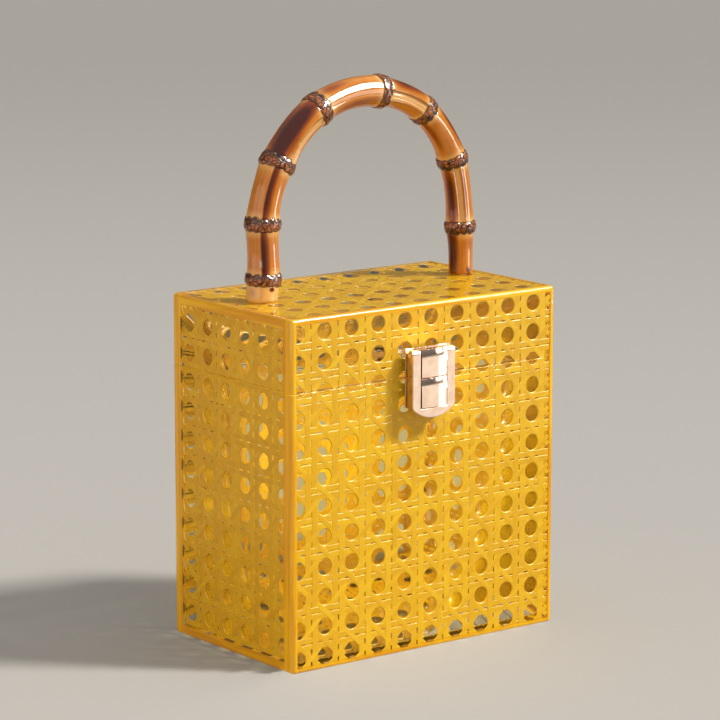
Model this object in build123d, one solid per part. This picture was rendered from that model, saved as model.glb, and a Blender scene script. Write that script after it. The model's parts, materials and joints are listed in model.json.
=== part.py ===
from build123d import *
import os
from math import ceil, floor

# Basket box bag: a clear resin box with cane webbing cast into every wall, a hinged lid, a bamboo root handle
# and a flip clasp. Millimetres, +X to the right of the front, +Y to the back, +Z up, origin under the middle.

# Box
box_width = 169.0
box_depth = 103.0
box_height = 179.5
lid_height = 37.4
seam_gap = 0.3
wall = 5.0
edge_round = 2.0
edge_bevel = 1.4

# Cane webbing
cane_layer = 0.4
cane_layers = 4
cane_border = 1.2
pair_width = 7.2
diagonal_width = 2.4
shortest_strand = 3.0
pitch_across = 16.8
pitch_deep = 16.0
pitch_up = 15.3
front_hole_across = 5.1
hole_deep = 8.2
body_front_hole_up = 5.9
body_side_hole_up = 12.2
lid_front_hole_up = 14.0
lid_side_hole_up = 7.5

# Bamboo handle
handle_inset = 17.6
handle_rise = 100.4
handle_thickness = 16.2
handle_right = 4.5
handle_back = 6.7
handle_skew_deg = 2.6
node_half_length = 1.9
bamboo_sides = 22
# Each node ring's place along the arch: share of the half span, share of the rise, share of the thickness.
node_shares = (
    (-0.987, 0.107, 1.15),
    (-0.991, 0.387, 1.165),
    (-0.85, 0.68, 1.17),
    (-0.46, 0.933, 1.11),
    (0.148, 0.997, 1.09),
    (0.598, 0.878, 0.98),
    (0.904, 0.606, 1.04),
    (0.99, 0.247, 1.03),
)
# Thickness of the waist after each ring, with the left foot first and the right foot last.
waist_shares = (0.98, 0.985, 0.98, 1.0, 0.985, 0.9, 0.875, 0.87, 0.79)

# Handle screws and washers
screw_radius = 2.0
screw_head_radius = 3.6
screw_head_height = 2.4
screw_reach = 14.0
washer_radius = 5.5
washer_thickness = 1.0
fastener_room = 0.15
hex_sides = 6
shank_sides = 8
washer_sides = 8

# Flip clasp on the front
clasp_plate_width = 28.4
clasp_plate_thickness = 0.8
clasp_plate_top = 15.3
clasp_plate_bottom = 15.0
clasp_block_width = 16.0
clasp_block_top = 14.8
clasp_block_seam = 0.6
keeper_block_bottom = 15.0
lever_width = 27.3
lever_thickness = 4.8
lever_leg_bottom = 15.0
lever_tip = 20.5
lever_corner = 3.0
lever_room = 0.35
lever_pin_radius = 0.9
pin_room = 0.05
post_radius = 1.5
post_spacing = 9.0
nut_radius = 3.0
nut_height = 1.6

# Hinges on the back
hinge_width = 26.0
hinge_place_share = 0.6
hinge_leaf_height = 16.5
hinge_leaf_thickness = 1.0
knuckle_radius = 2.2
knuckle_room = 0.4
knuckle_side_gap = 0.3
hinge_pin_radius = 1.0
rivet_radius = 1.0
rivet_head_radius = 1.8
rivet_head_height = 0.7
rivet_edge = 4.0
knuckle_count = 3
knuckle_sides = 12

overrun = 1.0

# Places worked out from the sizes above
half_width = box_width / 2
half_depth = box_depth / 2
front = -half_depth
back = half_depth
seam = box_height - lid_height
body_top = seam - seam_gap / 2
lid_bottom = seam + seam_gap / 2
cane_thickness = cane_layer * cane_layers
handle_span = box_width - 2 * handle_inset
hinge_axis_back = back + knuckle_radius + knuckle_room
hinge_middle = pitch_across * round(half_width * hinge_place_share / pitch_across)
back_hole_across = pitch_across / 2
plate_face = front - clasp_plate_thickness
lever_back = plate_face - lever_room
lever_front = lever_back - lever_thickness
lever_pin_y = (lever_back + lever_front) / 2
lever_top = seam + clasp_block_top
lever_pin_z = lever_top - lever_thickness / 2

X_AXIS = Vector(1, 0, 0)
Y_AXIS = Vector(0, 1, 0)
Z_AXIS = Vector(0, 0, 1)


def block(low, high):
    """Box between two opposite corners."""
    size = [top - bottom for bottom, top in zip(low, high)]
    middle = [(top + bottom) / 2 for bottom, top in zip(low, high)]
    return Pos(*middle) * Box(*size)


def rod(radius, start, along, length):
    """Round bar from a start point along a direction."""
    turned = Plane(origin=start, z_dir=along)
    return extrude(turned * Circle(radius), amount=length)


def prism(radius, sides, start, along, length):
    """Bar with a few flat sides, as wide across its flats as a round one of the same radius."""
    turned = Plane(origin=start, z_dir=along)
    return extrude(turned * RegularPolygon(radius, sides, major_radius=False), amount=length)


def keep_side(outline, across, limit):
    """The part of a convex outline on the near side of a straight cut."""
    kept = []
    for start, end in zip(outline, outline[1:] + outline[:1]):
        room_start = limit - across.dot(start)
        room_end = limit - across.dot(end)
        if room_start >= 0:
            kept.append(start)
        if room_start * room_end < 0:
            kept.append(start + (end - start) * (room_start / (room_start - room_end)))
    return kept


def lines_over(outline, across, first, step):
    """Offsets of evenly spaced lines that cross an outline."""
    reach = [across.dot(point) for point in outline]
    lowest = floor((min(reach) - first) / step)
    highest = ceil((max(reach) - first) / step)
    return [first + step * count for count in range(lowest, highest + 1)]


def strands(outline, across, offsets, width, inward):
    """One layer of flat strands across an outline, each cut off at its edges."""
    made = []
    for offset in offsets:
        strip = keep_side(outline, across, offset + width / 2)
        strip = keep_side(strip, -across, width / 2 - offset)
        if len(strip) < 3:
            continue
        face = make_face(Polyline(*strip, close=True))
        if face.area > shortest_strand * width:
            made.extend(extrude(face, amount=cane_layer, dir=inward).solids())
    return made


def cane_sheet(low, high, inward, flat_axes, holes, pitches):
    """Octagonal cane webbing: pairs of strands both ways and two sets of diagonals, layer on layer."""
    axis_a, axis_b = flat_axes
    hole_a, hole_b = holes
    pitch_a, pitch_b = pitches
    floor_corner = low if inward.dot(low) < inward.dot(high) else high
    depth = inward * inward.dot(floor_corner)

    def on_floor(corner_a, corner_b):
        return axis_a * axis_a.dot(corner_a) + axis_b * axis_b.dot(corner_b) + depth

    outline = [on_floor(low, low), on_floor(high, low), on_floor(high, high), on_floor(low, high)]
    made = []
    layers = []
    for axis, hole, pitch in ((axis_a, hole_a, pitch_a), (axis_b, hole_b, pitch_b)):
        layers.append((axis, lines_over(outline, axis, hole + pitch / 2, pitch), pair_width))
    for lean in (1, -1):
        slope = axis_a * (1 / pitch_a) + axis_b * (lean / pitch_b)
        across = slope.normalized()
        step = 1 / slope.length
        first = step / 2 + across.dot(axis_a * hole_a + axis_b * hole_b)
        layers.append((across, lines_over(outline, across, first, step), diagonal_width))
    for level, (across, offsets, width) in enumerate(layers):
        raised = [point + inward * (cane_layer * level) for point in outline]
        made.extend(strands(raised, across, offsets, width, inward))
    return made


def drilled(solids, drills):
    """Solids with the fastener holes cut through them."""
    for drill in drills:
        solids = [piece for solid in solids for piece in (solid - drill).solids()]
    return solids


def rounded_box():
    """The whole box as a block with round upright edges and a polished bevel round its top and base."""
    whole = block((-half_width, front, 0), (half_width, back, box_height))
    upright = fillet(whole.edges().filter_by(Axis.Z), edge_round)
    levels = upright.edges().group_by(Axis.Z)
    return chamfer(levels[0] + levels[-1], edge_bevel)


def walled(low, high, inward, open_edges, flat_axes, holes, pitches, drills):
    """One clear wall with a shallow inner recess, and the cane sheet that fills the recess."""
    low = Vector(*low)
    high = Vector(*high)
    border = (flat_axes[0] + flat_axes[1]) * cane_border
    cane_low = low + border
    cane_high = high - border
    if "top" in open_edges:
        cane_high += Z_AXIS * cane_border
    if "bottom" in open_edges:
        cane_low -= Z_AXIS * cane_border
    skin = wall - cane_thickness
    if inward.dot(X_AXIS + Y_AXIS + Z_AXIS) > 0:
        cane_low += inward * skin
    else:
        cane_high += inward * skin
    recess = block(cane_low, cane_high)
    clear = (outer_block & block(low, high)) - recess
    cane = cane_sheet(cane_low, cane_high, inward, flat_axes, holes, pitches)
    return drilled(clear.solids(), drills), drilled(cane, drills)


def handle_path():
    """The arch's centre line, upright at both feet, with its points on the node rings."""
    half = handle_span / 2
    rings = [(across * half, up * handle_rise) for across, up, _ in node_shares]
    points = [(-half, 0)] + rings + [(half, 0)]
    return Spline(*[(across, 0, up) for across, up in points], tangents=[(0, 0, 1), (0, 0, -1)])


def handle_place():
    """Where the arch stands: on the lid, a little behind the middle and slightly turned."""
    return Pos(handle_right, handle_back, box_height) * Rot(0, 0, handle_skew_deg)


def bamboo_handle(screw_drills):
    """Arched bamboo root: a swollen ring at each node and a waist between the nodes."""
    path = handle_path()
    reach = node_half_length / path.length
    half_thick = handle_thickness / 2
    places = [path.param_at_point((across * handle_span / 2, 0, up * handle_rise)) for across, up, _ in node_shares]
    sections = [(0, half_thick * waist_shares[0])]
    for index, (place, ring) in enumerate(zip(places, node_shares)):
        crest = ring[2]
        sections.append((place - reach, half_thick * crest))
        sections.append((place + reach, half_thick * crest))
        if ring != node_shares[-1]:
            sections.append(((place + places[index + 1]) / 2, half_thick * waist_shares[index + 1]))
    sections.append((1, half_thick * waist_shares[-1]))
    rings = []
    for place, radius in sections:
        level = Plane(origin=path @ place, x_dir=Y_AXIS, z_dir=path % place)
        rings.append(level * RegularPolygon(radius, bamboo_sides, major_radius=False))
    arch = handle_place() * loft(rings, ruled=True)
    return drilled(arch.solids(), screw_drills)


def handle_feet():
    """The two points on the lid under the handle's feet."""
    half = handle_span / 2
    return [(handle_place() * Pos(side * half, 0, 0)).position for side in (-1, 1)]


def handle_fixings():
    """Screws up into the bamboo, their washers under the lid, and the holes they pass through."""
    screws = []
    washers = []
    drills = []
    for foot in handle_feet():
        under = foot - Z_AXIS * wall
        head_top = under - Z_AXIS * washer_thickness
        length = washer_thickness + wall + screw_reach
        shank = prism(screw_radius, shank_sides, head_top, Z_AXIS, length)
        head = prism(screw_head_radius, hex_sides, head_top, -Z_AXIS, screw_head_height)
        drill = prism(screw_radius + fastener_room, shank_sides, head_top, Z_AXIS, length + fastener_room)
        washer = prism(washer_radius, washer_sides, under, -Z_AXIS, washer_thickness)
        screws.extend((shank + head).solids())
        washers.extend((washer - drill).solids())
        drills.append(drill)
    return screws, washers, drills


def clasp_posts(height):
    """Two posts behind a clasp plate, through the front wall, with the nuts that hold them inside."""
    posts = []
    nuts = []
    drills = []
    length = wall + nut_height
    for side in (-1, 1):
        root = Vector(side * post_spacing / 2, front, height)
        inside = root + Y_AXIS * wall
        posts.append(prism(post_radius, shank_sides, root, Y_AXIS, length))
        drill = prism(post_radius + fastener_room, shank_sides, root, Y_AXIS, length + overrun)
        nuts.extend((prism(nut_radius, hex_sides, inside, Y_AXIS, nut_height) - drill).solids())
        drills.append(drill)
    return posts, nuts, drills


def clasp_half(plate_low, plate_high, block_low, block_high, posts):
    """A thin base plate with a raised block on its face and posts behind it."""
    plate_half = clasp_plate_width / 2
    block_half = clasp_block_width / 2
    plate = block((-plate_half, plate_face, plate_low), (plate_half, front, plate_high))
    raised = block((-block_half, lever_front, block_low), (block_half, plate_face, block_high))
    return plate + raised + posts


def lever_pin_bar(radius):
    """Round bar along the lever's pivot, right across the clasp."""
    start = Vector(-lever_width / 2, lever_pin_y, lever_pin_z)
    return rod(radius, start, X_AXIS, lever_width)


def lever_pin_bore():
    """The faceted bore that the lever's pin turns in."""
    start = Vector(-lever_width / 2, lever_pin_y, lever_pin_z)
    return prism(lever_pin_radius + pin_room, shank_sides, start, X_AXIS, lever_width)


def clasp_lever():
    """U-shaped lever: two legs beside the blocks, a curved bar below them and round pivot ends."""
    half = lever_width / 2
    leg_bottom = seam - lever_leg_bottom
    tip = seam - lever_tip
    sides = Polyline((half, leg_bottom), (half, lever_top), (-half, lever_top), (-half, leg_bottom))
    bow = ThreePointArc((-half, leg_bottom), (0, tip), (half, leg_bottom))
    outline = make_face(sides + bow)
    low_corners = outline.vertices().sort_by(Axis.Y)[:2]
    outline = fillet(low_corners, lever_corner)
    window_half = clasp_block_width / 2 + lever_room
    window_low = seam - keeper_block_bottom - lever_room
    shield = extrude(Plane.XZ.offset(-lever_back) * outline, amount=lever_thickness)
    window = block((-window_half, lever_front, window_low), (window_half, lever_back, lever_top))
    below_pin = block((-half, lever_front, tip), (half, lever_back, lever_pin_z))
    round_ends = below_pin + lever_pin_bar(lever_thickness / 2)
    return (shield - window) & round_ends - lever_pin_bore()


def hinge_leaf(middle, upward, knuckle_spans):
    """Flat leaf on the back wall, with its share of the knuckles around the hinge axis."""
    half = hinge_width / 2
    clear = knuckle_radius + knuckle_side_gap
    near = seam + upward * clear
    far = seam + upward * hinge_leaf_height
    face = back + hinge_leaf_thickness
    leaf = block((middle - half, back, min(near, far)), (middle + half, face, max(near, far)))
    for start, end in knuckle_spans:
        tab = block((middle + start, back, min(seam, near)), (middle + end, face, max(seam, near)))
        axis_start = Vector(middle + start, hinge_axis_back, seam)
        leaf = leaf + tab + prism(knuckle_radius, knuckle_sides, axis_start, X_AXIS, end - start)
    bore_start = Vector(middle - half, hinge_axis_back, seam)
    return leaf - prism(hinge_pin_radius + pin_room, shank_sides, bore_start, X_AXIS, hinge_width)


def hinge_rivets(upward):
    """Rivets of all leaves on one side of the seam, through open eyes of the webbing, and their holes."""
    rivets = []
    drills = []
    height = seam + upward * (hinge_leaf_height - rivet_edge)
    face = back + hinge_leaf_thickness
    depth = hinge_leaf_thickness + wall
    for hinge_side in (-1, 1):
        for rivet_side in (-1, 1):
            across = hinge_side * hinge_middle + rivet_side * pitch_across / 2
            root = Vector(across, face, height)
            shank = prism(rivet_radius, shank_sides, root, -Y_AXIS, depth)
            head = prism(rivet_head_radius, shank_sides, root, Y_AXIS, rivet_head_height)
            rivets.extend((shank + head).solids())
            drills.append(prism(rivet_radius + pin_room, shank_sides, root, -Y_AXIS, depth + overrun))
    return rivets, drills


def write(name, solids):
    """One file for one named piece, as a group where it has several solids."""
    solids = list(solids)
    shape = solids[0] if len(solids) == 1 else Compound(children=solids)
    export_step(shape, os.path.join("parts", name + ".step"))


os.makedirs("parts", exist_ok=True)
outer_block = rounded_box()

screws, screw_washers, screw_drills = handle_fixings()
lid_plate_middle = seam + (clasp_block_top - lever_thickness + clasp_block_seam) / 2
keeper_middle = seam - (keeper_block_bottom + clasp_block_seam) / 2
lid_posts, lid_nuts, lid_post_drills = clasp_posts(lid_plate_middle)
keeper_posts, keeper_nuts, keeper_drills = clasp_posts(keeper_middle)
lid_rivets, lid_rivet_drills = hinge_rivets(1)
body_rivets, body_rivet_drills = hinge_rivets(-1)

# Walls: low corner, high corner, inward direction, edges where the cane meets the seam, axes of the
# sheet, the place of one hole, the pitches, and the fastener holes.
side_front = front + wall
side_back = back - wall
under_lid = box_height - wall
front_axes = (X_AXIS, Z_AXIS)
front_pitches = (pitch_across, pitch_up)
side_axes = (Y_AXIS, Z_AXIS)
side_pitches = (pitch_deep, pitch_up)
flat_axes = (X_AXIS, Y_AXIS)
flat_pitches = (pitch_across, pitch_deep)
flat_hole = (front_hole_across, hole_deep)
body_front_hole = (front_hole_across, body_front_hole_up)
body_back_hole = (back_hole_across, body_front_hole_up)
body_side_hole = (hole_deep, body_side_hole_up)
lid_front_hole = (front_hole_across, seam + lid_front_hole_up)
lid_back_hole = (back_hole_across, seam + lid_front_hole_up)
lid_side_hole = (hole_deep, seam + lid_side_hole_up)
inner_left = -half_width + wall
inner_right = half_width - wall
walls = {
    "body_front": (
        (-half_width, front, 0), (half_width, side_front, body_top), Y_AXIS,
        ("top",), front_axes, body_front_hole, front_pitches, keeper_drills,
    ),
    "body_back": (
        (-half_width, side_back, 0), (half_width, back, body_top), -Y_AXIS,
        ("top",), front_axes, body_back_hole, front_pitches, body_rivet_drills,
    ),
    "body_left": (
        (-half_width, side_front, wall), (inner_left, side_back, body_top), X_AXIS,
        ("top",), side_axes, body_side_hole, side_pitches, [],
    ),
    "body_right": (
        (inner_right, side_front, wall), (half_width, side_back, body_top), -X_AXIS,
        ("top",), side_axes, body_side_hole, side_pitches, [],
    ),
    "body_bottom": (
        (-half_width, side_front, 0), (half_width, side_back, wall), Z_AXIS,
        (), flat_axes, flat_hole, flat_pitches, [],
    ),
    "lid_front": (
        (-half_width, front, lid_bottom), (half_width, side_front, box_height), Y_AXIS,
        ("bottom",), front_axes, lid_front_hole, front_pitches, lid_post_drills,
    ),
    "lid_back": (
        (-half_width, side_back, lid_bottom), (half_width, back, box_height), -Y_AXIS,
        ("bottom",), front_axes, lid_back_hole, front_pitches, lid_rivet_drills,
    ),
    "lid_left": (
        (-half_width, side_front, lid_bottom), (inner_left, side_back, under_lid), X_AXIS,
        ("bottom",), side_axes, lid_side_hole, side_pitches, [],
    ),
    "lid_right": (
        (inner_right, side_front, lid_bottom), (half_width, side_back, under_lid), -X_AXIS,
        ("bottom",), side_axes, lid_side_hole, side_pitches, [],
    ),
    "lid_top": (
        (-half_width, side_front, under_lid), (half_width, side_back, box_height), -Z_AXIS,
        (), flat_axes, flat_hole, flat_pitches, screw_drills,
    ),
}
for place, sizes in walls.items():
    clear, cane = walled(*sizes)
    write(place + "_panel", clear)
    write(place + "_cane", cane)

write("bamboo_handle", bamboo_handle(screw_drills))
write("handle_screws", screws)
write("handle_washers", screw_washers)

lid_plate = clasp_half(
    lid_bottom, seam + clasp_plate_top, seam + clasp_block_seam, seam + clasp_block_top, lid_posts
)
keeper_plate = clasp_half(
    seam - clasp_plate_bottom, body_top, seam - keeper_block_bottom, body_top, keeper_posts
)
write("clasp_lid_plate", (lid_plate - lever_pin_bore()).solids())
write("clasp_keeper_plate", keeper_plate.solids())
write("clasp_lever", clasp_lever().solids())
write("clasp_pin", lever_pin_bar(lever_pin_radius).solids())
write("clasp_lid_nuts", lid_nuts)
write("clasp_keeper_nuts", keeper_nuts)

knuckle = hinge_width / knuckle_count
inner_span = [(knuckle_side_gap / 2 - knuckle / 2, knuckle / 2 - knuckle_side_gap / 2)]
outer_spans = [
    (-hinge_width / 2, -knuckle / 2 - knuckle_side_gap / 2),
    (knuckle / 2 + knuckle_side_gap / 2, hinge_width / 2),
]
for side, side_name in ((-1, "left"), (1, "right")):
    middle = side * hinge_middle
    lid_leaf = hinge_leaf(middle, 1, inner_span)
    body_leaf = hinge_leaf(middle, -1, outer_spans)
    pin = rod(hinge_pin_radius, (middle - hinge_width / 2, hinge_axis_back, seam), X_AXIS, hinge_width)
    write("hinge_" + side_name + "_lid_leaf", drilled(lid_leaf.solids(), lid_rivet_drills))
    write("hinge_" + side_name + "_body_leaf", drilled(body_leaf.solids(), body_rivet_drills))
    write("hinge_" + side_name + "_pin", pin.solids())
write("hinge_lid_rivets", lid_rivets)
write("hinge_body_rivets", body_rivets)
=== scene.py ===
import json
from math import ceil, floor, pi, radians
import bmesh
import bpy
import numpy as np
from mathutils import Matrix, Vector

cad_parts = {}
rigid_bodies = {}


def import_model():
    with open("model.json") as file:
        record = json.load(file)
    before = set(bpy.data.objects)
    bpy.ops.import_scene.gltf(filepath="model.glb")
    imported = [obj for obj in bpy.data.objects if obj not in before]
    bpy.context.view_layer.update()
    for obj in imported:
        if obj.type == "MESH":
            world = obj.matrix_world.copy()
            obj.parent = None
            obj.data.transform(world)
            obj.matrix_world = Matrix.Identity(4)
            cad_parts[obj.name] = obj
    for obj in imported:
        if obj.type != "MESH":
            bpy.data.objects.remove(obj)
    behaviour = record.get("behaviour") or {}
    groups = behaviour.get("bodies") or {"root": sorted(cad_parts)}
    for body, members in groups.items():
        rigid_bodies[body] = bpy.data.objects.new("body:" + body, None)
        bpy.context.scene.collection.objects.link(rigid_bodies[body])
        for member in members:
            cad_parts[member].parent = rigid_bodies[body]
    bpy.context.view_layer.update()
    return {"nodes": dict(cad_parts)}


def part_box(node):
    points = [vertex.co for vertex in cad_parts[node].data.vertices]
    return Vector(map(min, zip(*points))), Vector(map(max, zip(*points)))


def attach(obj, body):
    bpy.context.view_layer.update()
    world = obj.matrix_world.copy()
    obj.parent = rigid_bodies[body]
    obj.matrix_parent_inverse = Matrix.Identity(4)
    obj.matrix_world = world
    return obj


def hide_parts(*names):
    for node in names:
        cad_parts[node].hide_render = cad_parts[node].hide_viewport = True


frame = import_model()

# Basket box bag: clear resin walls with yellow cane webbing, a bamboo root handle and pale gold fittings.
# Metres, +X to the right of the front, +Y to the back, +Z up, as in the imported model.

mm = 0.001
nodes = frame["nodes"]
scene = bpy.context.scene

# Sizes read from the frame
body_low, body_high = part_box("body_front_panel")
lid_low, lid_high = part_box("lid_front_panel")
_, back_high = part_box("body_back_panel")
half_width = body_high.x
back = back_high.y
box_height = lid_high.z
body_top = body_high.z
lid_bottom = lid_low.z
wall = body_high.y - body_low.y
seam = (body_top + lid_bottom) / 2

# Cane webbing: the pitch of its eyes and the middle of one eye on each wall
pitch_across = 16.8 * mm
pitch_deep = 16.0 * mm
pitch_up = 15.3 * mm
front_eye_across = 5.1 * mm
eye_deep = 8.2 * mm
body_front_eye_up = 5.9 * mm
body_side_eye_up = 12.2 * mm
lid_front_eye_up = 14.0 * mm
lid_side_eye_up = 7.5 * mm

# Cane strands
eye_width = 9.1 * mm
pair_gap = 0.7 * mm
diagonal_width = 2.5 * mm
strand_thickness = 0.5 * mm
strand_round = 0.22 * mm
weave_rise = 0.12 * mm
strand_sway = 0.08 * mm
steps_per_pitch = 8
fillet_points = 2
rim_points = 20
bead_points = 6
least_strip = 1.0 * mm
filler_width = 1.0 * mm
least_diagonal = 0.2
rim_radius = 4.75 * mm
rim_round = 0.6 * mm
rim_lift = -0.3 * mm
# How fast a strand sways along its length, where its sway and its grain start, and the spread of its width.
sway_rates = (60, 110)
sway_starts = (0, 6)
grain_starts = (0, 5)
width_spread = (0.97, 1.03)
# Kinds of strand, as numbers on their points. Upright and level strands have 0 and 1, their axis.
diagonal_kind = 2.0
eye_kind = 3.0
sway_seed = 7
tone_seed = 11

# Bamboo handle
handle_span = 133.8 * mm
handle_rise = 100.4 * mm
handle_radius = 8.1 * mm
handle_right = 4.5 * mm
handle_back = 6.7 * mm
handle_skew = radians(2.6)
# Each node ring: share of the half span, share of the rise, share of the handle's radius.
node_shares = (
    (-0.987, 0.107, 1.15),
    (-0.991, 0.387, 1.165),
    (-0.85, 0.68, 1.17),
    (-0.46, 0.933, 1.11),
    (0.148, 0.997, 1.09),
    (0.598, 0.878, 0.98),
    (0.904, 0.606, 1.04),
    (0.99, 0.247, 1.03),
)
# Each length between rings: share of the handle's radius.
waist_shares = (0.98, 0.985, 0.98, 1.0, 0.985, 0.9, 0.875, 0.87, 0.79)
# Branch channels down the side of some lengths: length between rings, middle angle, half angle.
channels = ((3, 112, 17), (5, 98, 20), (7, 122, 15))
channel_depth = 0.85 * mm
channel_lip = 0.25 * mm
# Scorched patches, some of which also paint a dark reflection down the lengths: length between rings, share
# along it, angle, reach along in shares, reach towards the outside of the arch, reach towards its inside,
# strength.
# Angles go from the outside (0) by the front (90).
scorch_and_reflection_patches = (
    (0, 0.6, 84, 0.1, 9, 12, 1.3),
    (0, 0.4, 14, 0.4, 30, 24, 0.42),
    (1, 0.45, 49, 0.7, 5, 30, 0.95),
    (1, 0.5, 95, 0.6, 25, 20, 0.35),
    (2, 0.5, 52, 0.8, 5, 28, 0.9),
    (3, 0.42, 42, 0.6, 60, 34, 1.2),
    (3, 0.3, 70, 0.5, 20, 25, 0.6),
    (4, 0.25, 25, 0.3, 30, 25, 0.6),
    (4, 0.5, 120, 0.6, 22, 20, 0.5),
    (5, 0.45, 32, 0.5, 30, 40, 0.75),
    (6, 0.3, 155, 0.6, 26, 20, 0.6),
    (6, 0.5, 45, 0.5, 30, 30, 0.7),
    (7, 0.5, 160, 0.6, 22, 30, 0.95),
    (7, 0.4, 100, 0.5, 10, 10, 0.6),
    (8, 0.5, 172, 0.8, 34, 40, 1.0),
    (8, 0.92, 92, 0.1, 14, 14, 1.0),
)

# Bamboo rings: the swell on both sides of each, its collar and the groove along the collar's hems
swell_reach = 6.0 * mm
swell_power = 1.4
swell_share = 0.955
lobe_counts = (9, 13)
collar_height = 0.45 * mm
collar_slope = (-0.35 * mm, 0.25 * mm)
groove_depth = 0.3 * mm
groove_place = 0.25 * mm
groove_width = 0.3 * mm
# Each hem of a collar: least distance from the ring's middle, height of its arcs, height of its slow wave.
upper_hem = (1.9 * mm, 1.3 * mm, 0.25 * mm)
lower_hem = (2.4 * mm, 0.5 * mm, 0.2 * mm)
# Rows of root scars on a collar: place along the handle, height.
scar_rows = ((-0.9 * mm, 0.3 * mm), (1.0 * mm, 0.26 * mm))
scar_outline = 0.28 * mm
# Shades: a dark crown inside the upper hem, a shade that deepens towards it, and pale skin beside each ring.
crown_place = 0.35 * mm
crown_width = 0.42 * mm
crown_start = 0.6 * mm
shade_start, shade_full = -0.5 * mm, 1.8 * mm
pale_place = 4.2 * mm
pale_width = 1.6 * mm

# Bamboo mesh
ring_seed = 5
around_count = 96
ring_reach = 4.4 * mm
ring_step = 0.24 * mm
length_step = 1.2 * mm
slope_reach = 0.05 * mm

# Clasp blocks and eased edges
block_proud = 0.3 * mm
block_swell = 0.5 * mm
block_roll = 0.75 * mm
roll_start = 0.1
block_cuts = 12
face_depth = 0.01 * mm
cut_gap = 0.001 * mm
weld_gap = 0.002 * mm
flat_angle = radians(0.5)
sharp_angle = radians(35)
lever_ease = 0.8 * mm
plate_ease = 0.2 * mm
rivet_ease = 0.25 * mm
fixing_ease = 0.15 * mm
pin_ease = 0.1 * mm

# Reflector cards: place, the point that it is aimed at, width and height, radiance.
cards = {
    "left_card": ((-0.9, 0.0, 0.3), (0, 0, 0.3), (1.15, 0.6), 1.3),
    "right_card": ((0.7, -0.56, 0.16), (0, 0, 0.16), (0.13, 0.3), 16.0),
    "clasp_card": ((0.33, -0.49, 0.06), (0, -0.055, 0.06), (0.3, 0.13), 0.55),
    "clasp_strip": ((0.378, -0.455, 0.285), (0, -0.055, 0.142), (0.058, 0.23), 6.0),
    "block_card": ((0.37, -0.398, 0.062), (0, -0.055, 0.1), (0.066, 0.115), 1.6),
    "bevel_card": ((-0.95, -0.65, 0.06), (0, 0, 0.06), (0.4, 0.14), 3.0),
    "key_card": ((0.8, -0.82, 1.1), (0, -0.05, 0.1), (0.7, 0.7), 96.0),
    "edge_card": ((0.8, -0.82, 1.1), (0, -0.05, 0.1), (0.7, 0.7), 14.0),
}
# Cards that would glare in the clear resin, and the endings of the pieces that they light instead.
glint_cards = ("key_card", "block_card")
glint_pieces = ("_weave", "_arch", "_eased")
card_colour = (1.0, 0.985, 0.96)
# Bounce lamps, for the light that yellow walls throw back: kind, place, energy, colour, size's name, size.
bounces = {
    "left_bounce": ("AREA", (-1.35, -0.42, 0.12), 5.0, (1.0, 0.6, 0.05), "size", 0.5),
    "inner_bounce": ("POINT", (0, 0, 0.08), 0.14, (0.85, 1.0, 0.35), "shadow_soft_size", 0.03),
}
key_energy = 3.7
key_spread = radians(9)
key_colour = (1.0, 0.98, 0.95)
key_way = (-0.53, 0.51, -0.676)
sky_colour = (0.97, 0.98, 1.0, 1.0)
sky_low = 0.12
sky_gain = 0.62
sky_lean = 0.35
lean_way = (-0.607, -0.794, 0.0)
floor_half = 9.0
floor_level = -0.3 * mm
# Direction and span of the floor's painted shade towards the back.
floor_way = (0.6, 0.8)
floor_near, floor_far = -0.6, 3.0


class Wire:
    """A node's output, with arithmetic that adds Math nodes to its tree."""

    def __init__(self, tree, socket):
        self.tree = tree
        self.socket = socket

    def math(self, operation, *values):
        return add_node(self.tree, "ShaderNodeMath", {"operation": operation}, dict(enumerate(values)))

    def __add__(self, other):
        return self.math("ADD", self, other)

    def __sub__(self, other):
        return self.math("SUBTRACT", self, other)

    def __rsub__(self, other):
        return self.math("SUBTRACT", other, self)

    def __mul__(self, other):
        return self.math("MULTIPLY", self, other)

    __radd__ = __add__
    __rmul__ = __mul__

    def most(self, other):
        return self.math("MAXIMUM", self, other)

    def least(self, other):
        return self.math("MINIMUM", self, other)

    def size(self):
        return self.math("ABSOLUTE", self)

    def between(self, low, high):
        """0 below low, 1 above high, and a smooth rise between them."""
        settings = {"interpolation_type": "SMOOTHSTEP"}
        values = {"Value": self, "From Min": low, "From Max": high}
        return add_node(self.tree, "ShaderNodeMapRange", settings, values)

    def within(self, low, high):
        """1 below low, 0 above high, and a smooth fall between them."""
        return 1 - self.between(low, high)


def add_node(tree, kind, settings=None, values=None, output=0):
    """Adds a node: its settings first, then the values or links of its sockets."""
    node = tree.nodes.new(kind)
    for name, value in (settings or {}).items():
        setattr(node, name, value)
    for name, value in (values or {}).items():
        socket = node.inputs[name]
        if isinstance(value, Wire):
            tree.links.new(value.socket, socket)
        else:
            socket.default_value = value
    return Wire(tree, node.outputs[output]) if node.outputs else node


def paint(red, green, blue):
    """A screen colour, 0 to 255, as the linear colour that shaders take."""
    linear = []
    for part in (red, green, blue):
        share = part / 255
        linear.append(share / 12.92 if share <= 0.04045 else ((share + 0.055) / 1.055) ** 2.4)
    return (*linear, 1.0)


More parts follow.
